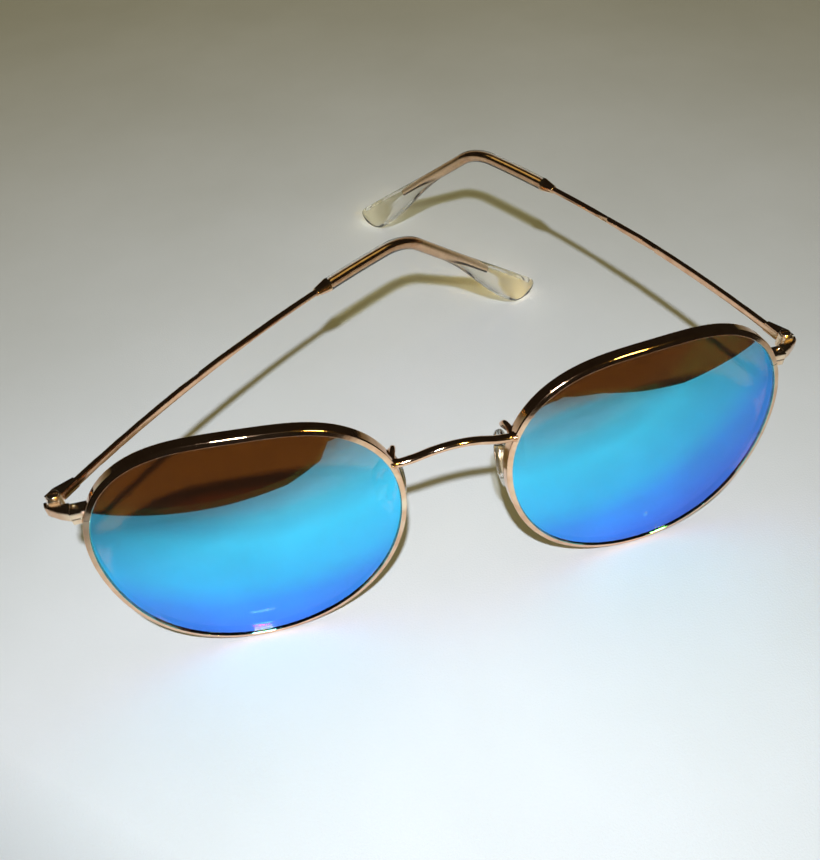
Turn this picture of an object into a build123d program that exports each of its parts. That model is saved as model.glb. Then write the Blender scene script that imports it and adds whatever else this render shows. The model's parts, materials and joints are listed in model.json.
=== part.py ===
from build123d import *
import os
from math import atan, cos, radians, sin, sqrt

# Round metal sunglasses, in millimetres.
# +Z is up, -Y is the side that the lenses face and +X is the wearer's left.
# The origin is on the table that the glasses stand on, in the plane of symmetry,
# below the foremost points of the two lenses.
# Each left-hand piece is drawn once, and its right-hand twin is its mirror image.

# Front
LENS_SPACING = 71.0  # between the centres of the two lenses
LENS_HEIGHT = 26.015  # of the lens centres above the table, measured along the tilted front
TILT = 5.45  # degrees that the front leans back from upright
FACE_FORM = 1.9  # degrees that each lens turns back towards its temple
BASE_RADIUS = 92.0  # of the sphere that the front of each rim lies on
RIM_RADIUS = 25.23  # mean radius of the middle of the rim
OVAL = 0.027  # how much wider than tall the rim is
FLAT_TOP = 0.036  # how flat its top is
NOSE_TAPER = -0.016  # how much it narrows beside the nose
SQUARE = -0.019  # how full its four corners are
RIM_WIDTH = 0.95
RIM_DEPTH = 2.1
RIM_ROUNDING = 0.22
GROOVE_DEPTH = 0.4
GROOVE_BEVEL = 0.34  # of the groove's two sides, short of its depth
LENS_THICKNESS = 1.6
LENS_RECESS = 0.3  # from the rim's front face to the lens
FIT_GAP = 0.03  # between pieces that are assembled but not soldered
OUTLINE_STEP = 10  # degrees between the points that a rim's outline is drawn through
PLUG_REACH = 12.0  # each way along Y of a plug that cuts the base sphere's shell

# Bridge
BRIDGE_DIAMETER = 1.5
BRIDGE_HALF = 10.7  # from the middle to where the wire meets each rim
BRIDGE_RISE = 2.64  # of its arch
BRIDGE_LEAN = 24.9  # degrees that the arch leans forward
BRIDGE_END = (3.87, 10.04)  # back from and above the lens centres, where it meets the rims

# Rim locks, end pieces and hinges, in the upright frame
HINGE = (63.58, 13.48, 37.9)  # middle of the left hinge's axis, which is vertical
KNUCKLE_RADIUS = 1.1
KNUCKLE_GAP = 0.04
KNUCKLE_STACK = 2.6  # height of the three knuckles together
MIDDLE_KNUCKLE = 1.0
HINGE_SCREW_RADIUS = 0.5
HINGE_HEAD_RADIUS = 0.95
HINGE_HEAD_HEIGHT = 0.45
RUNNING_GAP = 0.03  # all round the hinge screw and the pad screw
LEAF_THICKNESS = 0.5
WEB_HALF = 0.8  # half the width of the webs that carry the front knuckles
WEB_OVERLAP = 0.1  # of the webs into the leaf
TONGUE_LENGTH = 5.0  # back from the hinge's axis, of the tongue that is let into the strip
TONGUE_THICKNESS = 0.4
END_MIDDLE = 37.5  # height of the middle of the end piece and the closing blocks
END_HEIGHT = 2.5  # of the end piece and the two closing blocks together
END_INNER = (61.3, 9.6)  # inner front corner of the end piece
END_KNEE = (63.3, 10.6)  # where its front face turns back
END_OUTER = (65.2, 12.0)  # outer front corner
END_TOP_ROUNDING = 0.7
END_ROUNDING = 0.3
STOP_Y = 12.8  # where the end piece meets the temple's heel
SPLIT_GAP = 0.1  # between the two closing blocks
SPLIT_REACH = 6.0  # each way, of the saw cut through the rim
LOCK_FRONT = 9.1  # front face of the closing blocks
LOCK_DEPTH = 2.3
LOCK_REACH = 3.0  # inwards from the end piece, into the rim, which is cut away
LOCK_SCREW_PLACE = (60.55, 10.35)
LOCK_SCREW_RADIUS = 0.4
LOCK_SCREW_SHORT = 0.2  # below the top of the upper block
LOCK_HEAD_RADIUS = 0.65
LOCK_HEAD_HEIGHT = 0.4
HEAD_DOME = 0.6  # rounding of every screw's head, as a share of its height
SLOT_WIDTH = 0.25  # of every screw's slot
LEAF_FRONT = 11.7  # rear face of the end piece, which the hinge's leaf is soldered to
HEEL_INNER = 1.17  # from the hinge's axis out to the temple's heel
HEEL_TAPER = 3.2  # length over which the heel runs out into the strip
HEEL_ROUNDING = 0.8
STOP_GAP = 0.05
HEEL_SETBACK = 0.05  # of the heel's inner face from the strip's

# Temples
RIGHT_FOLD = 44.6  # degrees folded in from fully open, as they stand
LEFT_FOLD = 12.6
BOW_RADIUS = 278.0  # of the temple's inward curve, seen from above
BEND_START = 81.9  # along the wire from the hinge
BEND_RADIUS = 15.1
BEND_ANGLE = 40.0
STRIP_START = 1.2
STRIP_HEIGHT = 1.7
STRIP_THICKNESS = 1.0
STRIP_END = 38.0
ROUND_START = 47.0
WIRE_RADIUS = 0.65
WIRE_OVERLAP = 0.5  # of the round wire into the taper
ROUND_SHORT = 0.02  # by which the taper's end is flatter than the round wire
WIRE_END = 120.0
FERRULE_START = 63.0
FERRULE_END = 66.3
FERRULE_NOSE = 0.85
FERRULE_MOUTH = 1.45
TIP_RADIUS = 1.38
CORE_GAP = 0.02  # round the wire, in the ferrule and the tip
# Paddle outline: distance along the wire, and height across it
PADDLE_TOP = [(104.0, 1.45), (118.0, 1.45), (131.0, 1.75), (143.0, 1.9)]
PADDLE_NOSE = (141.21, -3.89)
PADDLE_BOTTOM = [(137.6, -5.2), (130.0, -4.95), (122.0, -3.9), (113.0, -2.3), (104.0, -1.45)]
PADDLE_HALF_THICKNESS = 1.45
PADDLE_ROUNDING = 1.35
TUBE_OVERLAP = 0.4  # of the tube into the paddle

# Nose pads, in the frame of the tilted front
PAD_CENTRE = (10.35, 9.0, 0.4)
PAD_SPLAY = 20.0  # degrees that its back edge turns out
PAD_FLARE = 9.0  # degrees that its lower end turns out
PAD_HEIGHT = 12.6
PAD_WIDTH = 7.6
PAD_THICKNESS = 2.3
PAD_PROFILE = [(0.0, 1.0), (0.45, 0.97), (0.8, 0.86), (1.0, 0.62)]  # share of half thickness, of outline
PAD_CORE_SHARE = (0.5, 0.45)  # of the pad's height and width
PAD_CORE_THICKNESS = 0.5
PAD_BOX = (2.25, 2.0, 3.0)  # along the pad's normal, its width and its height
PAD_BOX_SHIFT = 0.22  # from the screw to the middle of the box, away from the pad
PAD_BOX_WALL = 0.4
PAD_TONGUE_THICKNESS = 0.8
PAD_TONGUE_HEIGHT = 1.7
PAD_TONGUE_REACH = 2.3  # past the pad's outer face
PAD_SCREW_RADIUS = 0.4
PAD_HEAD_RADIUS = 0.7
PAD_HEAD_HEIGHT = 0.35
ARM_RADIUS = 0.5
ARM_DROP = 3.0  # height above the box at which it turns straight down
ARM_BEND = 0.9  # radius of its bends
ARM_ROUTE = [(10.6, 5.0, 9.9), (9.8, 6.6, 11.2), (9.75, 8.3, 9.4)]

FRONT = Rot(-TILT, 0, 0) * Pos(0, 0, LENS_HEIGHT)
EYE = FRONT * Pos(LENS_SPACING / 2, 0, 0) * Rot(0, 0, FACE_FORM)
SIDE_SIGN = {"left": 1, "right": -1}


# Front: rims and lenses -------------------------------------------------------


def rim_radius(angle):
    """Distance from the lens centre to the middle of the rim. Angle 0 is the temple side, 90 the top."""
    t = radians(angle)
    shape = OVAL * cos(2 * t) + FLAT_TOP * sin(3 * t) + NOSE_TAPER * cos(3 * t) + SQUARE * cos(4 * t)
    return RIM_RADIUS * (1 + shape)


def rim_point(angle, offset=0.0):
    """A point on the base sphere, offset outwards from the middle of the rim."""
    r = rim_radius(angle) + offset
    depth = BASE_RADIUS - sqrt(BASE_RADIUS**2 - r**2)
    return Vector(r * cos(radians(angle)), depth, r * sin(radians(angle)))


def rim_prism(offset):
    """A straight-sided plug along Y, whose outline is the rim's, offset outwards."""
    points = [rim_point(angle, offset) for angle in range(0, 360, OUTLINE_STEP)]
    outline = Spline(*[Vector(p.X, 0, p.Z) for p in points], periodic=True)
    return extrude(make_face(outline), PLUG_REACH, both=True)


def curved_shell(recess, thickness):
    """The space between two spheres that share the base sphere's centre."""
    outside = BASE_RADIUS - recess
    return Pos(0, BASE_RADIUS, 0) * (Sphere(outside) - Sphere(outside - thickness))


def long_edges(shape):
    """The edges that run right round a rim or a lens, longest first."""
    return [edge for edge in shape.edges().sort_by(SortBy.LENGTH, reverse=True) if edge.length > RIM_RADIUS]


def bevelled_disc(edge_offset, recess, thickness, bevel):
    disc = rim_prism(edge_offset) & curved_shell(recess, thickness)
    return chamfer(long_edges(disc), bevel)


def eyewire():
    """A wire rim, grooved inside for the lens and cut through at the rim lock."""
    half = RIM_WIDTH / 2
    ring = (rim_prism(half) - rim_prism(-half)) & curved_shell(0, RIM_DEPTH)
    ring = fillet(long_edges(ring)[:2], RIM_ROUNDING)
    groove = bevelled_disc(
        GROOVE_DEPTH - half, LENS_RECESS - FIT_GAP, LENS_THICKNESS + 2 * FIT_GAP, GROOVE_BEVEL
    )
    split = Pos(*LOCK_SCREW_PLACE, END_MIDDLE) * Box(2 * SPLIT_REACH, 2 * SPLIT_REACH, SPLIT_GAP)
    return largest(EYE * (ring - groove) - split)


def lens():
    """A curved lens of even thickness, its edge bevelled to sit in the rim's groove."""
    edge_offset = GROOVE_DEPTH - RIM_WIDTH / 2 - 2 * FIT_GAP
    return EYE * bevelled_disc(edge_offset, LENS_RECESS, LENS_THICKNESS, GROOVE_DEPTH - FIT_GAP)


def largest(shape):
    """The main solid of a cut, without any sliver that the cut leaves."""
    return Part() + shape.solids().sort_by(SortBy.VOLUME)[-1]


def round_bar(radius, arcs):
    """A round wire along tangent arcs and lines."""
    path = Wire(arcs)
    start = Plane(origin=path @ 0, z_dir=path % 0)
    return sweep(start * Circle(radius), path=path)


def bridge(rims):
    """One wire: level beside each rim, then arching up and forward between them."""
    half_run = BRIDGE_HALF / 2
    turn = 2 * atan(BRIDGE_RISE / BRIDGE_HALF)
    radius = half_run / sin(turn)
    sag = radius * (1 - cos(turn / 2))
    reach = radius * sin(turn / 2)
    left_dip = [(BRIDGE_HALF, 0), (BRIDGE_HALF - reach, sag), (half_run, BRIDGE_RISE / 2)]
    arch = [(half_run, BRIDGE_RISE / 2), (0, BRIDGE_RISE), (-half_run, BRIDGE_RISE / 2)]
    right_dip = [(-x, y) for x, y in reversed(left_dip)]
    back, height = BRIDGE_END
    arch_plane = FRONT * Pos(0, back, height) * Rot(90 + BRIDGE_LEAN, 0, 0)
    arcs = [arch_plane * ThreePointArc(*points) for points in (left_dip, arch, right_dip)]
    wire = round_bar(BRIDGE_DIAMETER / 2, arcs)
    return largest(wire - rims)


# Rim locks, end pieces and hinges ---------------------------------------------


def upright_prism(points, bottom, height):
    """A plan outline raised from a height above the table."""
    outline = make_face(Polyline(*points, close=True))
    return Pos(0, 0, bottom) * extrude(outline, height)


def upright_cylinder(x, y, bottom, height, radius):
    return Pos(x, y, bottom + height / 2) * Cylinder(radius, height)


def closing_blocks():
    """The two halves that close the rim. Each is soldered to one end of the rim's wire."""
    outer, front, back = END_INNER[0], LOCK_FRONT, LOCK_FRONT + LOCK_DEPTH
    inner = outer - LOCK_REACH
    plan = [(inner, front), (outer, front), (outer, back), (inner, back)]
    half_height = (END_HEIGHT - SPLIT_GAP) / 2
    lower = upright_prism(plan, END_MIDDLE - END_HEIGHT / 2, half_height)
    upper = upright_prism(plan, END_MIDDLE + SPLIT_GAP / 2, half_height)
    x, y = LOCK_SCREW_PLACE
    bore = upright_cylinder(x, y, END_MIDDLE - END_HEIGHT, 2 * END_HEIGHT, LOCK_SCREW_RADIUS + FIT_GAP)
    rim_core = EYE * (rim_prism(RIM_WIDTH / 2) & curved_shell(0, RIM_DEPTH))
    return largest(upper - rim_core - bore), largest(lower - rim_core - bore)


def slotted_screw(x, y, bottom, length, radius, head_radius, head_height):
    """A screw standing on its end: a shank, and a domed head with a slot."""
    shank = upright_cylinder(x, y, bottom, length, radius)
    head = upright_cylinder(x, y, bottom + length, head_height, head_radius)
    rim = head.edges().group_by(Axis.Z)[-1]
    head = fillet(rim, HEAD_DOME * head_height)
    slot = Pos(x, y, bottom + length + head_height) * Box(3 * head_radius, SLOT_WIDTH, head_height)
    return shank + (head - slot)


def rim_lock_screw():
    """It comes up from below, so that its head is under the lower block."""
    x, y = LOCK_SCREW_PLACE
    bottom = END_MIDDLE - END_HEIGHT / 2
    length = END_HEIGHT - LOCK_SCREW_SHORT
    screw = slotted_screw(0, 0, 0, length, LOCK_SCREW_RADIUS, LOCK_HEAD_RADIUS, LOCK_HEAD_HEIGHT)
    return Pos(x, y, bottom + length) * Rot(180, 0, 0) * screw


def end_piece():
    """From the upper closing block outwards and back to the hinge, with a lip that stops the temple."""
    lip_inner = HINGE[0] + HEEL_INNER
    plan = [
        END_INNER,
        END_KNEE,
        END_OUTER,
        (END_OUTER[0], STOP_Y),
        (lip_inner, STOP_Y),
        (lip_inner, LEAF_FRONT + LEAF_THICKNESS),
        (HINGE[0] + KNUCKLE_RADIUS, LEAF_FRONT),
        (END_INNER[0], LEAF_FRONT),
    ]
    body = upright_prism(plan, END_MIDDLE - END_HEIGHT / 2, END_HEIGHT)
    front_edges = [edge for edge in body.edges() if on_segment(edge, END_INNER, END_KNEE)]
    front_edges += [edge for edge in body.edges() if on_segment(edge, END_KNEE, END_OUTER)]
    top = [edge for edge in front_edges if edge.center().Z > END_MIDDLE]
    bottom = [edge for edge in front_edges if edge.center().Z < END_MIDDLE]
    return fillet(bottom, END_ROUNDING).fillet(END_TOP_ROUNDING, top)


def on_segment(edge, first, last):
    """Whether an edge lies level above the segment between two plan points."""
    middle = edge.center()
    level = abs((edge % 0.5).Z) < 0.1
    return level and abs(middle.X - (first[0] + last[0]) / 2) + abs(middle.Y - (first[1] + last[1]) / 2) < 0.05


def knuckle(bottom, height):
    return upright_cylinder(HINGE[0], HINGE[1], bottom, height, KNUCKLE_RADIUS)


def hinge_bore():
    return upright_cylinder(HINGE[0], HINGE[1], HINGE[2] - 5, 10, HINGE_SCREW_RADIUS + RUNNING_GAP)


def hinge_front():
    """The front half of the hinge: a leaf soldered behind the end piece, and the outer two knuckles."""
    x, y, z = HINGE
    side_height = (KNUCKLE_STACK - MIDDLE_KNUCKLE) / 2 - KNUCKLE_GAP
    bottom = z - KNUCKLE_STACK / 2
    leaf_back = LEAF_FRONT + LEAF_THICKNESS
    left, right = x - KNUCKLE_RADIUS, x + KNUCKLE_RADIUS
    leaf_plan = [(left, LEAF_FRONT), (right, LEAF_FRONT), (right, leaf_back), (left, leaf_back)]
    half = upright_prism(leaf_plan, bottom, END_MIDDLE + END_HEIGHT / 2 - bottom)
    web_left, web_right = x - WEB_HALF, x + WEB_HALF
    web_front = leaf_back - WEB_OVERLAP
    web_plan = [(web_left, web_front), (web_right, web_front), (web_right, y), (web_left, y)]
    for level in (bottom, z + MIDDLE_KNUCKLE / 2 + KNUCKLE_GAP):
        half = half + knuckle(level, side_height) + upright_prism(web_plan, level, side_height)
    return half - hinge_bore()


def hinge_screw():
    x, y, z = HINGE
    bottom = z - KNUCKLE_STACK / 2
    return slotted_screw(
        x, y, bottom, KNUCKLE_STACK, HINGE_SCREW_RADIUS, HINGE_HEAD_RADIUS, HINGE_HEAD_HEIGHT
    )


def hinge_rear():
    """The temple's half of the hinge: the middle knuckle, and a tongue that is let into the strip."""
    x, y, z = HINGE
    bottom = z - MIDDLE_KNUCKLE / 2
    half = TONGUE_THICKNESS / 2
    tongue_plan = [(x - half, y), (x + half, y), (x + half, y + TONGUE_LENGTH), (x - half, y + TONGUE_LENGTH)]
    return knuckle(bottom, MIDDLE_KNUCKLE) + upright_prism(tongue_plan, bottom, MIDDLE_KNUCKLE) - hinge_bore()


# Temples, drawn fully open with the hinge's axis as their origin ----------------


def bow_point(distance):
    turn = distance / BOW_RADIUS
    return Vector(-BOW_RADIUS * (1 - cos(turn)), BOW_RADIUS * sin(turn), 0)


def bow_heading(distance):
    turn = distance / BOW_RADIUS
    return Vector(-sin(turn), cos(turn), 0)


def bow_arc(start, end):
    return ThreePointArc(bow_point(start), bow_point((start + end) / 2), bow_point(end))


def drop_point(distance):
    """A point on the part of the wire that turns down behind the ear, in the plane that it lies in."""
    bend_length = BEND_RADIUS * radians(BEND_ANGLE)
    past_start = distance - BEND_START
    turn = min(past_start, bend_length) / BEND_RADIUS
    straight = max(past_start - bend_length, 0)
    along = BEND_RADIUS * sin(turn) + straight * cos(radians(BEND_ANGLE))
    down = BEND_RADIUS * (1 - cos(turn)) + straight * sin(radians(BEND_ANGLE))
    heading = bow_heading(BEND_START)
    return bow_point(BEND_START) + heading * along - Vector(0, 0, down)


def drop_heading():
    tilt = radians(BEND_ANGLE)
    return bow_heading(BEND_START) * cos(tilt) - Vector(0, 0, sin(tilt))


def wire_path(start, end):
    """The wire's route from a point before the bend to one after it."""
    bend_end = BEND_START + BEND_RADIUS * radians(BEND_ANGLE)
    bend = [drop_point(distance) for distance in (BEND_START, (BEND_START + bend_end) / 2, bend_end)]
    return [bow_arc(start, BEND_START), ThreePointArc(*bend), Line(drop_point(bend_end), drop_point(end))]


def strip_section(distance, height, thickness):
    """An upright oblong across the wire's route."""
    plane = Plane(origin=bow_point(distance), x_dir=(0, 0, 1), z_dir=bow_heading(distance))
    return plane * SlotOverall(height, thickness)


def temple_wire(hinge_half):
    """One piece: a heel that meets the end piece, a flat strip, and a round wire on into the tip."""
    strip = sweep(strip_section(STRIP_START, STRIP_HEIGHT, STRIP_THICKNESS), path=bow_arc(STRIP_START, STRIP_END))
    nearly_round = 2 * WIRE_RADIUS
    taper = loft(
        [
            strip_section(STRIP_END, STRIP_HEIGHT, STRIP_THICKNESS),
            strip_section(ROUND_START, nearly_round, nearly_round - ROUND_SHORT),
        ]
    )
    wire = round_bar(WIRE_RADIUS, wire_path(ROUND_START - WIRE_OVERLAP, WIRE_END))
    inner = STRIP_THICKNESS / 2 - HEEL_SETBACK
    front, outer = STOP_Y - HINGE[1] + STOP_GAP, END_OUTER[0] - HINGE[0]
    run_out = STRIP_START + HEEL_TAPER
    heel_plan = [
        (HEEL_INNER, front),
        (outer, front),
        (outer, STRIP_START),
        (inner, run_out),
        (-inner, run_out),
        (-inner, STRIP_START),
        (HEEL_INNER, STRIP_START),
    ]
    heel = upright_prism(heel_plan, -STRIP_HEIGHT / 2, STRIP_HEIGHT)
    shoulder = heel.edges().filter_by(Axis.Z).sort_by_distance((outer, STRIP_START, 0))[0]
    return strip + taper + wire + fillet(shoulder, HEEL_ROUNDING) - hinge_half


def ferrule():
    """The short metal cone that covers the joint where the wire enters the plastic tip."""
    middle = (FERRULE_START + FERRULE_END) / 2
    place = Plane(origin=bow_point(middle), z_dir=bow_heading(middle))
    cone = Cone(FERRULE_NOSE, FERRULE_MOUTH, FERRULE_END - FERRULE_START)
    return place * (cone - Cylinder(WIRE_RADIUS + CORE_GAP, 2 * FERRULE_END))


def paddle():
    """The flat end of the tip, drawn from the side and rounded along its edges."""
    start = PADDLE_TOP[0][0]
    across = Vector(0, 0, 1).cross(bow_heading(BEND_START))
    place = Plane(origin=drop_point(start), x_dir=drop_heading(), z_dir=-across)
    top, nose, bottom = (
        [(distance - start, height) for distance, height in points]
        for points in (PADDLE_TOP, [PADDLE_NOSE], PADDLE_BOTTOM)
    )
    outline = [
        Spline(*top, tangents=[(1, 0), (1, 0)]),
        ThreePointArc(top[-1], nose[0], bottom[0]),
        Spline(*bottom, tangents=[(-1, 0), (-1, 0)]),
        Line(bottom[-1], top[0]),
    ]
    body = place * extrude(make_face(outline), PADDLE_HALF_THICKNESS, both=True)
    outline_edges = [edge for edge in body.edges() if edge.length > 3 * PADDLE_HALF_THICKNESS]
    return fillet(outline_edges, PADDLE_ROUNDING)


def temple_tip():
    """Clear plastic moulded on the wire: a tube round the bend, then a flat paddle."""
    start = FERRULE_END + CORE_GAP
    paddle_start = PADDLE_TOP[0][0]
    bore = WIRE_RADIUS + CORE_GAP
    past = 2 * TUBE_OVERLAP
    tube = round_bar(TIP_RADIUS, wire_path(start, paddle_start + TUBE_OVERLAP))
    tube = tube - round_bar(bore, wire_path(start - past, paddle_start + past))
    bore_length = WIRE_END + CORE_GAP - paddle_start + past
    place = Plane(origin=drop_point(paddle_start - past), z_dir=drop_heading())
    straight_bore = place * Pos(0, 0, bore_length / 2) * Cylinder(bore, bore_length)
    return (paddle() - straight_bore) + tube


# Nose pads, in the frame of the tilted front ------------------------------------


def pad_frame():
    """Origin at the pad's middle, x away from the nose, y back along its width, z up its height."""
    return FRONT * Pos(*PAD_CENTRE) * Rot(0, 0, -PAD_SPLAY) * Rot(0, -PAD_FLARE, 0)


def pad_core_solid(gap=0.0):
    """A thin oval plate inside the pad, with a tongue that stands out of its outer face."""
    height, width = PAD_HEIGHT * PAD_CORE_SHARE[0] + gap, PAD_WIDTH * PAD_CORE_SHARE[1] + gap
    plate = Rot(0, 90, 0) * extrude(Ellipse(height / 2, width / 2), (PAD_CORE_THICKNESS + gap) / 2, both=True)
    length = PAD_THICKNESS / 2 + PAD_TONGUE_REACH
    tongue = Pos(length / 2, 0, 0) * Box(length, PAD_TONGUE_THICKNESS + gap, PAD_TONGUE_HEIGHT + gap)
    return plate + tongue


def pad_pivot():
    """Distance from the pad's middle to the screw that it rocks on."""
    return PAD_THICKNESS / 2 + PAD_TONGUE_REACH - PAD_TONGUE_HEIGHT / 2


def pad_core():
    rounded = pad_core_solid()
    end = [edge for edge in rounded.edges().filter_by(Axis.Y) if edge.center().X > PAD_THICKNESS / 2 + 0.5]
    rounded = fillet(end, PAD_TONGUE_HEIGHT * 0.45)
    bore = Pos(pad_pivot(), 0, 0) * Rot(90, 0, 0) * Cylinder(PAD_SCREW_RADIUS + RUNNING_GAP, 6)
    return pad_frame() * (rounded - bore)


def nose_pad():
    """A soft clear oval, thin at its edge and full in the middle."""
    sections = []
    for level, share in [(-a, b) for a, b in reversed(PAD_PROFILE[1:])] + PAD_PROFILE:
        plane = Plane(origin=(level * PAD_THICKNESS / 2, 0, 0), x_dir=(0, 0, 1), z_dir=(1, 0, 0))
        sections.append(plane * Ellipse(PAD_HEIGHT / 2 * share, PAD_WIDTH / 2 * share))
    return pad_frame() * (loft(sections) - pad_core_solid(2 * CORE_GAP))


def pad_box():
    """A small metal box, open towards the pad, that the tongue and its screw sit in."""
    depth, width, height = PAD_BOX
    pivot = pad_pivot()
    middle = pivot + PAD_BOX_SHIFT
    box = Pos(middle, 0, 0) * Box(depth, width, height)
    inside = Pos(middle - PAD_BOX_WALL, 0, 0) * Box(depth, PAD_TONGUE_THICKNESS + 4 * FIT_GAP, 2 * height)
    bore = Pos(pivot, 0, 0) * Rot(90, 0, 0) * Cylinder(PAD_SCREW_RADIUS + RUNNING_GAP, 6)
    return pad_frame() * (box - inside - bore)


def pad_screw():
    width = PAD_BOX[1]
    screw = slotted_screw(0, 0, 0, width, PAD_SCREW_RADIUS, PAD_HEAD_RADIUS, PAD_HEAD_HEIGHT)
    return pad_frame() * Pos(pad_pivot(), -width / 2, 0) * Rot(-90, 0, 0) * screw


def pad_arm(rim, box):
    """A bent wire from the back of the rim, up and over in a small loop, then down to the pad box."""
    box_top = pad_frame() * Pos(pad_pivot() + PAD_BOX_SHIFT + PAD_BOX[0] / 2 - ARM_RADIUS, 0, PAD_BOX[2] / 2)
    end = FRONT.inverse() * box_top
    x, y, z = end.position
    points = [*ARM_ROUTE, (x, y, z + ARM_DROP), (x, y, z)]
    route = FilletPolyline(*points, radius=ARM_BEND)
    wire = FRONT * round_bar(ARM_RADIUS, route.edges())
    return largest(wire - rim - box)


# Assembly ------------------------------------------------------------------------


def fold(shape, side, angle):
    """Places a temple's piece, drawn open round the hinge's axis, folded in by an angle."""
    sign = SIDE_SIGN[side]
    x, y, z = HINGE
    if side == "right":
        shape = mirror(shape, about=Plane.YZ)
    return Pos(sign * x, y, z) * Rot(0, 0, sign * angle) * shape


def build():
    """Every piece in its place, by node name."""
    rim = eyewire()
    upper, lower = closing_blocks()
    box = pad_box()
    front = {
        "eyewire": rim,
        "lens": lens(),
        "closing_block_upper": upper,
        "closing_block_lower": lower,
        "rim_lock_screw": rim_lock_screw(),
        "end_piece": end_piece(),
        "hinge_front": hinge_front(),
        "hinge_screw": hinge_screw(),
        "pad_arm": pad_arm(rim, box),
        "pad_box": box,
        "pad_core": pad_core(),
        "nose_pad": nose_pad(),
        "pad_screw": pad_screw(),
    }
    hinge_half = Pos(-HINGE[0], -HINGE[1], -HINGE[2]) * hinge_rear()
    temple = {
        "hinge_rear": hinge_half,
        "temple_wire": temple_wire(hinge_half),
        "ferrule": ferrule(),
        "temple_tip": temple_tip(),
    }
    nodes = {"bridge": bridge(rim + mirror(rim, about=Plane.YZ))}
    for name, shape in front.items():
        nodes[f"left_{name}"] = shape
        nodes[f"right_{name}"] = mirror(shape, about=Plane.YZ)
    for side, angle in (("left", LEFT_FOLD), ("right", RIGHT_FOLD)):
        for name, shape in temple.items():
            nodes[f"{side}_{name}"] = fold(shape, side, angle)
    return nodes


def main():
    os.makedirs("parts", exist_ok=True)
    nodes = build()
    for name, shape in nodes.items():
        export_step(shape, f"parts/{name}.step")
    lowest = min(shape.bounding_box().min.Z for shape in nodes.values())
    print(f"{len(nodes)} nodes, lowest point {lowest:.3f} mm")


main()
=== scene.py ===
import json
from math import cos, pi, radians, sin, sqrt

import bpy
from mathutils import Matrix, Vector


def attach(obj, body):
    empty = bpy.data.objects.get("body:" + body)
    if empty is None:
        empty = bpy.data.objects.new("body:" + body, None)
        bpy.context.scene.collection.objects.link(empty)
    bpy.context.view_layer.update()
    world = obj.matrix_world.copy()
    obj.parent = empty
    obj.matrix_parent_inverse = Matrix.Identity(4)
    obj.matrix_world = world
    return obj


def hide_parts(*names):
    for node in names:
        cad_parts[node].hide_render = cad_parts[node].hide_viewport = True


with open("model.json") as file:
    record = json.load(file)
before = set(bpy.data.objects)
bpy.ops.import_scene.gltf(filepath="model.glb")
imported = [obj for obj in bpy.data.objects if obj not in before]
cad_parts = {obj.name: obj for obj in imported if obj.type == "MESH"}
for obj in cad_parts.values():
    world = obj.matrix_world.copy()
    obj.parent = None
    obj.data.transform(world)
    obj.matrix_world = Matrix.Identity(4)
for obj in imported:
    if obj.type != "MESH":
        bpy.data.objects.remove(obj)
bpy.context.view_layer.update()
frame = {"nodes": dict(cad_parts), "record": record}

# Round metal sunglasses with mirrored lenses and clear tips, on a pale floor.
# Lengths are in metres, and colours are linear.

MM = 0.001
NEAR_CLIP = 0.002


# Camera -----------------------------------------------------------------------

CAMERA_TARGET = Vector((-0.00815, 0.0, 0.05049))
CAMERA_AZIMUTH = radians(-12.62)
CAMERA_ELEVATION = radians(47.03)
CAMERA_ROLL = radians(-3.32)
CAMERA_DISTANCE = 0.1238
CAMERA_LENS = 35.55
CAMERA_SHIFT = (-0.0056, 0.0003)


def make_camera():
    back = Vector(
        (
            sin(CAMERA_AZIMUTH) * cos(CAMERA_ELEVATION),
            -cos(CAMERA_AZIMUTH) * cos(CAMERA_ELEVATION),
            sin(CAMERA_ELEVATION),
        )
    )
    right = (-back).cross(Vector((0, 0, 1))).normalized()
    up = right.cross(-back)
    across = cos(CAMERA_ROLL) * right + sin(CAMERA_ROLL) * up
    upward = -sin(CAMERA_ROLL) * right + cos(CAMERA_ROLL) * up
    data = bpy.data.cameras.new("camera")
    data.lens = CAMERA_LENS
    data.shift_x, data.shift_y = CAMERA_SHIFT
    data.clip_start = NEAR_CLIP
    camera = bpy.data.objects.new("camera", data)
    turn = Matrix((across, upward, back)).transposed().to_4x4()
    camera.matrix_world = Matrix.Translation(CAMERA_TARGET + back * CAMERA_DISTANCE) @ turn
    bpy.context.scene.collection.objects.link(camera)
    bpy.context.scene.camera = camera


# Materials --------------------------------------------------------------------


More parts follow.
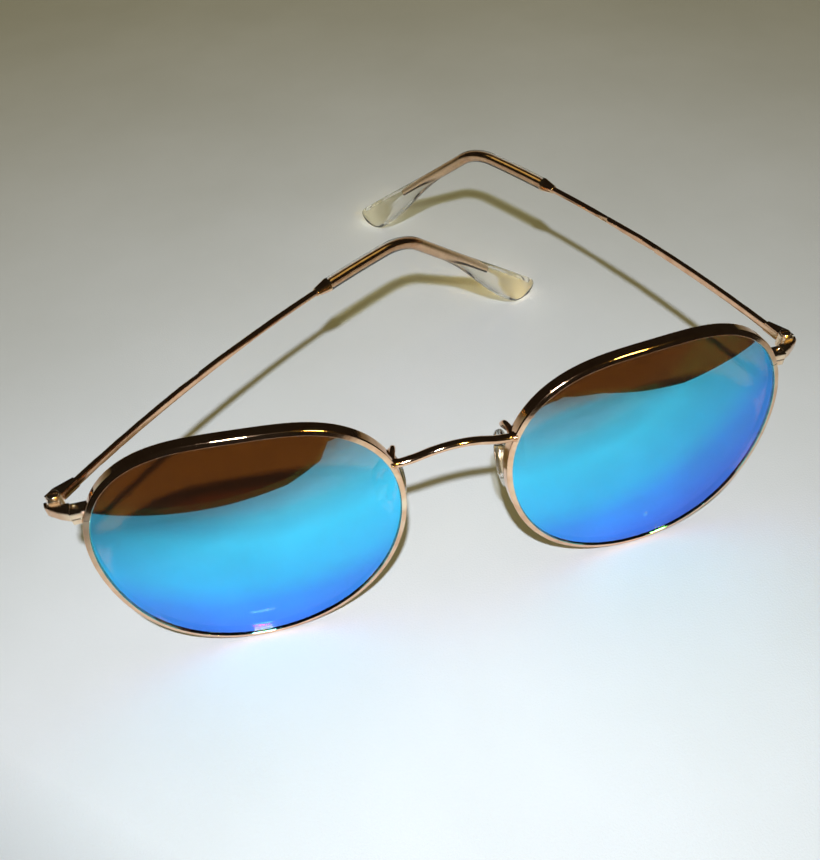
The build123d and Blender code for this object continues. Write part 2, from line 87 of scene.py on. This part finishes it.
class Nodes:
    """A material's node tree, with one short call for each node."""

    def __init__(self, name):
        self.material = bpy.data.materials.new(name)
        self.material.use_nodes = True
        self.tree = self.material.node_tree
        self.tree.nodes.clear()
        self.output = self.tree.nodes.new("ShaderNodeOutputMaterial")

    def add(self, kind, inputs=None, **settings):
        node = self.tree.nodes.new("ShaderNode" + kind)
        for key, value in settings.items():
            setattr(node, key, value)
        for key, value in (inputs or {}).items():
            if isinstance(value, bpy.types.NodeSocket):
                self.tree.links.new(value, node.inputs[key])
            else:
                node.inputs[key].default_value = value
        return node

    def position(self):
        return self.add("TexCoord").outputs["Object"]

    def noise(self, scale, detail=3.0, roughness=0.55):
        inputs = {"Vector": self.position(), "Scale": scale, "Detail": detail, "Roughness": roughness}
        return self.add("TexNoise", inputs).outputs["Fac"]

    def remap(self, value, low, high, start=0.0, end=1.0):
        """Turns start..end into low..high."""
        inputs = {"Value": value, "From Min": start, "From Max": end, "To Min": low, "To Max": high}
        return self.add("MapRange", inputs).outputs["Result"]

    def blend(self, share, first, second):
        node = self.add("Mix", data_type="RGBA")
        for socket, value in ((0, share), (6, first), (7, second)):
            if isinstance(value, bpy.types.NodeSocket):
                self.tree.links.new(value, node.inputs[socket])
            else:
                node.inputs[socket].default_value = value
        return node.outputs[2]

    def ramp(self, value, stops):
        node = self.add("ValToRGB", {"Fac": value})
        colours = node.color_ramp
        colours.elements[0].position, colours.elements[0].color = stops[0]
        colours.elements[1].position, colours.elements[1].color = stops[-1]
        for place, colour in stops[1:-1]:
            colours.elements.new(place).color = colour
        return node.outputs["Color"]

    def bump(self, height, distance, normal=None):
        inputs = {"Height": height, "Distance": distance, "Strength": 1.0}
        if normal:
            inputs["Normal"] = normal
        return self.add("Bump", inputs).outputs["Normal"]

    def tinted(self, value, factor):
        """A colour multiplied by a number."""
        return self.add("VectorMath", {0: value, 1: factor}, operation="MULTIPLY").outputs[0]

    def finish(self, shader):
        self.tree.links.new(shader, self.output.inputs["Surface"])
        return self.material


def colour(red, green, blue):
    return (red, green, blue, 1.0)


# Scales are of noise over the object's own space, in waves per metre.
CLOUD_SCALE = 420.0
CLOUD_STOPS = (0.35, 0.62)  # of the noise, between the deep colour and the base colour
WEAR_STARTS, WEAR_FULL = 0.53, 0.6  # how pointed an edge is
GRAIN_BAND = (0.3, 0.7)  # of the noise, between the glossiest grain and the dullest
GRAIN_GLOSS = (0.7, 1.5)  # share of the metal's roughness
GRAIN_DEPTH = 0.0006 * MM
RIPPLE_SCALE = 1400.0
RIPPLE_DEPTH = 0.004 * MM


def metal(name, base, deep, worn, roughness, edge, grain_scale):
    """Plated metal: cloudy polish with darker patches at random, fine grain and paler worn edges."""
    nodes = Nodes(name)
    tone = nodes.ramp(nodes.noise(CLOUD_SCALE), list(zip(CLOUD_STOPS, (deep, base))))
    edges = nodes.add("NewGeometry").outputs["Pointiness"]
    tint = nodes.blend(nodes.remap(edges, 0.0, 1.0, WEAR_STARTS, WEAR_FULL), tone, worn)
    grain = nodes.noise(grain_scale, detail=4.0)
    glossiest, dullest = (roughness * share for share in GRAIN_GLOSS)
    rounded = nodes.add("Bevel", {"Radius": edge * MM}, samples=4).outputs["Normal"]
    ripple = nodes.bump(nodes.noise(RIPPLE_SCALE, detail=1.0), RIPPLE_DEPTH, normal=rounded)
    inputs = {
        "Base Color": tint,
        "Metallic": 1.0,
        "Roughness": nodes.remap(grain, glossiest, dullest, *GRAIN_BAND),
        "Normal": nodes.bump(grain, GRAIN_DEPTH, normal=ripple),
    }
    return nodes.finish(nodes.add("BsdfPrincipled", inputs).outputs["BSDF"])


# The mirror film's colour, from looking straight at it (0) to a grazing look (1)
FILM_COLOURS = [
    (0.0, colour(0.11, 0.24, 0.27)),
    (0.2, colour(0.06, 0.33, 0.48)),
    (0.3, colour(0.055, 0.64, 0.97)),
    (0.42, colour(0.055, 0.56, 1.0)),
    (0.5, colour(0.06, 0.36, 1.0)),
    (0.6, colour(0.065, 0.26, 0.93)),
    (0.7, colour(0.085, 0.19, 0.82)),
    (0.85, colour(0.22, 0.2, 0.72)),
]
FRONT_BROWN = colour(0.38, 0.2, 0.06)  # passed by the front face
BACK_BROWN = colour(0.62, 0.4, 0.24)  # passed by the back face and the edge
BACK_SHEEN = colour(0.9, 0.8, 0.7)
GLASS_INDEX = 1.5
FRONT_FACES = -0.4  # Y of the normal, below which a face has the mirror film
FILM_SCALE = 60.0
FILM_STRENGTH = (0.9, 1.06)  # between its weakest and its strongest patches
FILM_BAND = (0.3, 0.7)
WAVE_SCALE = 45.0
WAVE_DEPTH = 0.012 * MM
SMUDGE_SCALE = 260.0
SMUDGE_GLOSS = (0.012, 0.05)  # roughness, between clean glass and smudges
SMUDGE_BAND = (0.5, 0.75)


def mirror_lens():
    """Brown glass. The front has a blue mirror film, whose hue shifts to violet at a slant."""
    nodes = Nodes("blue_mirror_on_brown_glass")
    slant = nodes.add("LayerWeight", {"Blend": 0.5}).outputs["Facing"]
    film = nodes.ramp(slant, FILM_COLOURS)
    strength = nodes.remap(nodes.noise(FILM_SCALE, detail=2.0), *FILM_STRENGTH, *FILM_BAND)
    film = nodes.tinted(film, strength)
    wave = nodes.bump(nodes.noise(WAVE_SCALE, detail=1.0, roughness=0.4), WAVE_DEPTH)
    smudges = nodes.noise(SMUDGE_SCALE, detail=5.0, roughness=0.7)
    smudge = nodes.remap(smudges, *SMUDGE_GLOSS, *SMUDGE_BAND)
    mirror = nodes.add("BsdfGlossy", {"Color": film, "Roughness": smudge, "Normal": wave})
    brown = nodes.add("BsdfTransparent", {"Color": FRONT_BROWN})
    front = nodes.add("AddShader", {0: mirror.outputs[0], 1: brown.outputs[0]})
    sheen = nodes.add("BsdfGlossy", {"Color": BACK_SHEEN, "Roughness": smudge})
    fresnel = nodes.add("Fresnel", {"IOR": GLASS_INDEX}).outputs[0]
    clear = nodes.add("BsdfTransparent", {"Color": BACK_BROWN})
    back = nodes.add("MixShader", {0: fresnel, 1: clear.outputs[0], 2: sheen.outputs[0]})
    facing = nodes.add("NewGeometry").outputs["Normal"]
    depth = nodes.add("SeparateXYZ", {0: facing}).outputs["Y"]
    is_front = nodes.add("Math", {0: depth, 1: FRONT_FACES}, operation="LESS_THAN").outputs[0]
    both = nodes.add("MixShader", {0: is_front, 1: back.outputs[0], 2: front.outputs[0]})
    return nodes.finish(both.outputs[0])


HAZE_SCALE = 700.0
HAZE_GLOSS = (0.6, 1.8)  # share of the plastic's roughness
HAZE_BAND = (0.35, 0.7)
FLOW_SCALE = 160.0
FLOW_DEPTH = 0.02 * MM
TINT_SCALE = 90.0
TINT_STOPS = (0.3, 0.7)


def clear_plastic(name, tint, pale, roughness, index, shadow):
    """Clear moulded plastic with faint flow lines and a handled surface. It casts a light shadow."""
    nodes = Nodes(name)
    clearest, dullest = (roughness * share for share in HAZE_GLOSS)
    haze = nodes.remap(nodes.noise(HAZE_SCALE, detail=5.0), clearest, dullest, *HAZE_BAND)
    flow = nodes.bump(nodes.noise(FLOW_SCALE, detail=2.0), FLOW_DEPTH)
    inputs = {
        "Base Color": nodes.ramp(nodes.noise(TINT_SCALE), list(zip(TINT_STOPS, (tint, pale)))),
        "Roughness": haze,
        "IOR": index,
        "Transmission Weight": 1.0,
        "Normal": flow,
    }
    body = nodes.add("BsdfPrincipled", inputs).outputs["BSDF"]
    through = nodes.add("BsdfTransparent", {"Color": shadow}).outputs[0]
    is_shadow = nodes.add("LightPath").outputs["Is Shadow Ray"]
    return nodes.finish(nodes.add("MixShader", {0: is_shadow, 1: body, 2: through}).outputs[0])


ROSE_GOLD = colour(0.86, 0.56, 0.36)
DEEP_GOLD = colour(0.72, 0.42, 0.25)
PALE_GOLD = colour(0.95, 0.74, 0.52)
SOLDER_GOLD = colour(0.8, 0.45, 0.25)
BRIGHT_GOLD = colour(0.97, 0.88, 0.72)
COPPER = colour(0.6, 0.3, 0.15)
STEEL = colour(0.7, 0.66, 0.6)
DULL_STEEL = colour(0.5, 0.46, 0.4)
# Each metal's name, its base, deep and worn colours, roughness, edge radius in mm, and grain scale
METALS = {
    "frame_metal": ("rose_gold_plate", ROSE_GOLD, DEEP_GOLD, PALE_GOLD, 0.075, 0.06, 9000.0),
    "hinge_metal": ("satin_hinge_plate", DEEP_GOLD, SOLDER_GOLD, PALE_GOLD, 0.24, 0.05, 14000.0),
    "screw_metal": ("gilt_screw", PALE_GOLD, ROSE_GOLD, BRIGHT_GOLD, 0.16, 0.03, 16000.0),
    "pad_insert": ("pad_insert_metal", STEEL, DULL_STEEL, PALE_GOLD, 0.3, 0.03, 12000.0),
    "cast": ("cast_rose_gold", ROSE_GOLD, DEEP_GOLD, PALE_GOLD, 0.09, 0.45, 8000.0),
    "drawn": ("drawn_rose_gold", ROSE_GOLD, DEEP_GOLD, PALE_GOLD, 0.085, 0.22, 10000.0),
    "solder": ("copper_gold_solder", SOLDER_GOLD, COPPER, PALE_GOLD, 0.16, 0.1, 7000.0),
}
# Each plastic's name, its two tints, roughness, refractive index and the colour of its shadow
PALE_PLASTIC = colour(0.9, 0.88, 0.82)
PLASTICS = {
    "clear_plastic": (
        "clear_tip", colour(0.8, 0.77, 0.68), PALE_PLASTIC, 0.03, 1.47, colour(0.55, 0.53, 0.42)
    ),
    "pad_silicone": (
        "clear_pad", colour(0.8, 0.76, 0.66), PALE_PLASTIC, 0.08, 1.41, colour(0.75, 0.74, 0.7)
    ),
}
CAST_NODES = ("end_piece", "closing_block_upper", "closing_block_lower")
DRAWN_NODES = ("temple_wire", "ferrule")


def make_materials():
    materials = {slot: metal(*values) for slot, values in METALS.items()}
    materials |= {slot: clear_plastic(*values) for slot, values in PLASTICS.items()}
    materials["mirror_lens"] = mirror_lens()
    return materials


def dress_nodes(materials):
    """Each CAD node has its slot's material, apart from the cast and the drawn pieces of the frame."""
    for part in frame["record"]["subparts"]:
        kind = part["material_slot"]
        if part["node"].endswith(CAST_NODES):
            kind = "cast"
        elif part["node"].endswith(DRAWN_NODES):
            kind = "drawn"
        mesh = frame["nodes"][part["node"]].data
        mesh.materials.clear()
        mesh.materials.append(materials[kind])


# Moulded tips and solder ----------------------------------------------------------

HINGE = Vector((63.58, 13.48, 37.9))  # in millimetres, as are the lengths below
FOLDS = {"left": (1, 12.6), "right": (-1, 44.6)}
BOW_RADIUS = 278.0
BEND_START = 81.9
BEND_RADIUS = 15.1
BEND_ANGLE = 40.0
TIP_START = 66.32
TIP_RADIUS = 1.38
SWELL_START = 102.0  # where the tip starts to widen downwards
SWELL_LENGTH = 33.0
SWELL_DEPTH = 3.82
CREST_RISE = 0.52  # that its top edge gains over the paddle
CREST_LENGTH = 38.0
FLAT_LENGTH = 10.0  # over which the tube's thickness becomes the paddle's
SQUARING = 0.7  # how much fuller than an ellipse the paddle's section is
SQUARING_LENGTH = 20.0
NOSE_CENTRE = (137.61, 0.4)  # of the arc that ends the paddle
NOSE_RADIUS = 5.6
CREST_ROUNDING = 1.5  # of the paddle's upper corner
SIDE_ROUNDING = 1.35
PADDLE_HALF_THICKNESS = 1.44
ROUND_STEPS = 48
START_RINGS = [(0.0, 0.88), (0.03, 0.96), (0.12, 0.995)]  # past the start, and share of the full section
LENGTH_STEPS = 96
FIRST_STEP = 0.5  # from the start to the first full ring
NOSE_STEPS = 15
NOSE_STEP_ANGLE = 6.0


def smooth(value):
    value = min(max(value, 0.0), 1.0)
    return value * value * (3.0 - 2.0 * value)


def wire_frame(distance):
    """The wire's place, upward side and outward side, for an open temple with its hinge at the origin."""
    turn = min(distance, BEND_START) / BOW_RADIUS
    place = Vector((-BOW_RADIUS * (1 - cos(turn)), BOW_RADIUS * sin(turn), 0.0))
    heading = Vector((-sin(turn), cos(turn), 0.0))
    outward = Vector((cos(turn), sin(turn), 0.0))
    bend_length = BEND_RADIUS * radians(BEND_ANGLE)
    past = max(distance - BEND_START, 0.0)
    tilt = min(past, bend_length) / BEND_RADIUS
    straight = max(past - bend_length, 0.0)
    place += heading * (BEND_RADIUS * sin(tilt) + straight * cos(tilt))
    place.z -= BEND_RADIUS * (1 - cos(tilt)) + straight * sin(tilt)
    upward = heading * sin(tilt) + Vector((0.0, 0.0, cos(tilt)))
    return place, upward, outward


def tip_outline(distance):
    """Top, bottom and half thickness of the tip at a distance along the wire."""
    nose_end = NOSE_CENTRE[0] + NOSE_RADIUS
    top = TIP_RADIUS + CREST_RISE * smooth((distance - SWELL_START) / CREST_LENGTH)
    past = max(distance - (nose_end - CREST_ROUNDING), 0.0) / CREST_ROUNDING
    top = NOSE_CENTRE[1] + (top - NOSE_CENTRE[1]) * sqrt(max(1.0 - past * past, 0.0))
    bottom = -TIP_RADIUS - SWELL_DEPTH * smooth((distance - SWELL_START) / SWELL_LENGTH)
    past = max(distance - NOSE_CENTRE[0], 0.0) / NOSE_RADIUS
    bottom = NOSE_CENTRE[1] + (bottom - NOSE_CENTRE[1]) * sqrt(max(1.0 - past * past, 0.0))
    flatness = smooth((distance - SWELL_START) / FLAT_LENGTH)
    thickness = TIP_RADIUS + (PADDLE_HALF_THICKNESS - TIP_RADIUS) * flatness
    past = max(distance - (nose_end - SIDE_ROUNDING), 0.0) / SIDE_ROUNDING
    return top, bottom, thickness * sqrt(max(1.0 - past * past, 0.0))


def tip_stations():
    """Distances along the tip, close together in the bend and at both ends."""
    nose_end = NOSE_CENTRE[0] + NOSE_RADIUS
    crown = nose_end - SIDE_ROUNDING
    first = TIP_START + FIRST_STEP
    stations = [TIP_START + past for past, _ in START_RINGS]
    stations += [first + (crown - first) * step / LENGTH_STEPS for step in range(LENGTH_STEPS)]
    nose = [SIDE_ROUNDING * sin(radians(NOSE_STEP_ANGLE * step)) for step in range(NOSE_STEPS)]
    return stations + [crown + past for past in nose]


def signed_power(value, power):
    return abs(value) ** power * (1 if value > 0 else -1)


def tube_faces(rings, around, turned):
    """Quads between the rings of a tube and a cap at each end, turned inside out for a mirrored tube."""
    faces = []
    for ring in range(rings - 1):
        for step in range(around):
            first, second = ring * around + step, ring * around + (step + 1) % around
            faces.append((first, second, second + around, first + around))
    faces.append(tuple(range(around))[::-1])
    faces.append(tuple(range((rings - 1) * around, rings * around)))
    return [face[::-1] for face in faces] if turned else faces


def moulded_tip(side):
    """The clear tip as one smooth skin, with the metal core left visible inside it."""
    sign, fold = FOLDS[side]
    turn = Matrix.Rotation(radians(sign * fold), 4, "Z")
    hinge = Vector((sign * HINGE.x, HINGE.y, HINGE.z))
    points = []
    stations = tip_stations()
    for number, distance in enumerate(stations):
        place, upward, outward = wire_frame(distance)
        top, bottom, half = tip_outline(distance)
        shrink = START_RINGS[number][1] if number < len(START_RINGS) else 1.0
        power = 2.0 / (2.0 + SQUARING * smooth((distance - SWELL_START) / SQUARING_LENGTH))
        for step in range(ROUND_STEPS):
            angle = 2 * pi * step / ROUND_STEPS
            across = half * shrink * signed_power(cos(angle), power)
            rise = (top - bottom) / 2 * shrink * signed_power(sin(angle), power)
            point = place + outward * across + upward * ((top + bottom) / 2 + rise)
            point.x *= sign
            points.append((turn @ point + hinge) * MM)
    faces = tube_faces(len(stations), ROUND_STEPS, turned=sign > 0)
    return smooth_piece(side + "_moulded_tip", points, faces)


def smooth_piece(name, points, faces):
    mesh = bpy.data.meshes.new(name)
    mesh.from_pydata([tuple(point) for point in points], [], faces)
    mesh.polygons.foreach_set("use_smooth", [True] * len(mesh.polygons))
    piece = bpy.data.objects.new(name, mesh)
    bpy.context.scene.collection.objects.link(piece)
    return piece


BEAD_RINGS = 13
BEAD_STEPS = 24
BEAD_SEED = 1.7
BEAD_LUMPS = 0.05  # share of the radius
BEAD_PHASE = 2.3  # between its two sets of lumps
BEAD_FOOT_ROUNDING = (8.0, 0.35)  # how fast the foot fills out, and from what share of the radius squared


def solder_bead(name, start, end, foot, neck, seed):
    """A lumpy collar of solder round a wire, broad at the joint and running out along the wire."""
    start, end = Vector(start), Vector(end)
    axis = (end - start).normalized()
    first = axis.orthogonal().normalized()
    second = axis.cross(first)
    filling, least = BEAD_FOOT_ROUNDING
    points = []
    for ring in range(BEAD_RINGS):
        share = ring / (BEAD_RINGS - 1)
        radius = neck + (foot - neck) * (1 - share) ** 2
        radius *= sqrt(min(1.0, filling * share + least))
        for step in range(BEAD_STEPS):
            angle = 2 * pi * step / BEAD_STEPS
            lumps = sin(2 * angle + seed) + sin(3 * angle + BEAD_PHASE * seed)
            lump = 1 + BEAD_LUMPS * (1 - share) * lumps
            offset = first * cos(angle) + second * sin(angle)
            points.append((start + (end - start) * share + offset * radius * lump) * MM)
    return smooth_piece(name, points, tube_faces(BEAD_RINGS, BEAD_STEPS, turned=False))


TILT = 5.45
LENS_HEIGHT = 26.015
JOINTS = {  # in the tilted front: start, end, radius at the foot, radius of the wire
    "bridge_solder": ((10.9, 3.87, 10.04), (9.5, 3.9, 10.2), 1.15, 0.755),
    "pad_arm_solder": ((10.6, 5.0, 9.9), (9.95, 6.3, 10.95), 0.95, 0.505),
}


def front_point(x, y, z):
    """From the tilted front's own frame to the upright one."""
    tilt = radians(TILT)
    height = z + LENS_HEIGHT
    return (x, y * cos(tilt) + height * sin(tilt), height * cos(tilt) - y * sin(tilt))


def add_pieces(materials):
    for side in FOLDS:
        tip = moulded_tip(side)
        tip.data.materials.append(materials["clear_plastic"])
        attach(tip, side + "_temple")
        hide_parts(side + "_temple_tip")
    for joint, (start, end, foot, neck) in JOINTS.items():
        for side, (sign, _) in FOLDS.items():
            low, high = (front_point(sign * x, y, z) for x, y, z in (start, end))
            bead = solder_bead(side + "_" + joint, low, high, foot, neck, BEAD_SEED * sign)
            bead.data.materials.append(materials["solder"])
            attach(bead, "front")


# Floor and lights ---------------------------------------------------------------

TONE_SCALE = 14.0
FLOOR_TONES = [(0.3, colour(0.78, 0.76, 0.68)), (0.7, colour(0.85, 0.83, 0.76))]
FLOOR_ROUGHNESS = 0.85
FLOOR_SIDE, FLOOR_BACK = 1.5, 2.0
WEAVE_SCALE = 2600.0
WEAVE_DEPTH = 0.05 * MM
# The floor's front edge: it curves in front of each lens, and the lenses mirror it
FLOOR_FRONT = [
    (-1.5, 0.0),
    (-0.45, -0.03),
    (-0.2, -0.045),
    (-0.116, -0.058),
    (-0.052, -0.08),
    (-0.02, -0.092),
    (0.008, -0.12),
    (0.03, -0.17),
    (0.065, -0.16),
    (0.09, -0.125),
    (0.115, -0.1),
    (0.145, -0.09),
    (0.181, -0.074),
    (0.3, -0.05),
    (1.5, 0.0),
]
CORNER_DIRECTION = (0.9, 1.0, 0.0)  # along which painted shade darkens the floor towards its front right corner
PAINTED_CORNER_SHADE = 0.42
CORNER_BAND = (-0.132, -0.082)


def make_floor():
    """A pale sheet that ends a little in front of the glasses, so that the lenses mirror its edge."""
    corners = [(FLOOR_SIDE, FLOOR_BACK), (-FLOOR_SIDE, FLOOR_BACK)]
    outline = [(x, y, 0.0) for x, y in FLOOR_FRONT + corners]
    mesh = bpy.data.meshes.new("floor")
    mesh.from_pydata(outline, [], [list(range(len(outline)))])
    floor = bpy.data.objects.new("floor", mesh)
    bpy.context.scene.collection.objects.link(floor)
    nodes = Nodes("pale_floor")
    tone = nodes.ramp(nodes.noise(TONE_SCALE, detail=4.0), FLOOR_TONES)
    # Painted shade: the floor's colour is darkened towards its front right corner.
    corner = nodes.add("VectorMath", {0: nodes.position(), 1: CORNER_DIRECTION}, operation="DOT_PRODUCT")
    painted_shade = nodes.remap(corner.outputs["Value"], PAINTED_CORNER_SHADE, 1.0, *CORNER_BAND)
    weave = nodes.bump(nodes.noise(WEAVE_SCALE, detail=2.0), WEAVE_DEPTH)
    inputs = {"Base Color": nodes.tinted(tone, painted_shade), "Roughness": FLOOR_ROUGHNESS, "Normal": weave}
    mesh.materials.append(nodes.finish(nodes.add("BsdfPrincipled", inputs).outputs["BSDF"]))


LIGHTS_AIM = (0.0, 0.04, 0.02)
ROOM = (0.014, 0.012, 0.009, 1.0)
# Each light's place, size, power, colour, and whether it shows in gloss and lights dull surfaces
LIGHTS = {
    "key": ((-0.032, -0.105, 0.215), 0.007, 0.72, (0.72, 0.81, 1.0), False, True),
    "fill": ((0.03, 0.3, 0.8), 0.9, 1.4, (1.0, 0.86, 0.33), False, True),
    "glint": ((-0.055, -0.2, 0.13), 0.042, 0.6, (0.95, 0.97, 1.0), True, False),
    "warm_glint": ((0.11, -0.23, 0.18), 0.055, 0.7, (1.0, 0.74, 0.16), True, False),
}


def area_light(name, place, size, power, tint, in_gloss, in_diffuse):
    data = bpy.data.lights.new(name, "AREA")
    data.shape = "DISK"
    data.size = size
    data.energy = power
    data.color = tint
    light = bpy.data.objects.new(name, data)
    light.location = place
    light.rotation_mode = "QUATERNION"
    light.rotation_quaternion = (Vector(LIGHTS_AIM) - Vector(place)).to_track_quat("-Z", "Y")
    light.visible_glossy = in_gloss
    light.visible_diffuse = in_diffuse
    bpy.context.scene.collection.objects.link(light)


def make_lights():
    for name, values in LIGHTS.items():
        area_light(name, *values)
    world = bpy.data.worlds.new("room")
    world.use_nodes = True
    background = world.node_tree.nodes["Background"]
    background.inputs["Color"].default_value = ROOM
    background.inputs["Strength"].default_value = 1.0
    bpy.context.scene.world = world
    bpy.context.scene.view_settings.view_transform = "Standard"


make_camera()
materials = make_materials()
dress_nodes(materials)
add_pieces(materials)
make_floor()
make_lights()
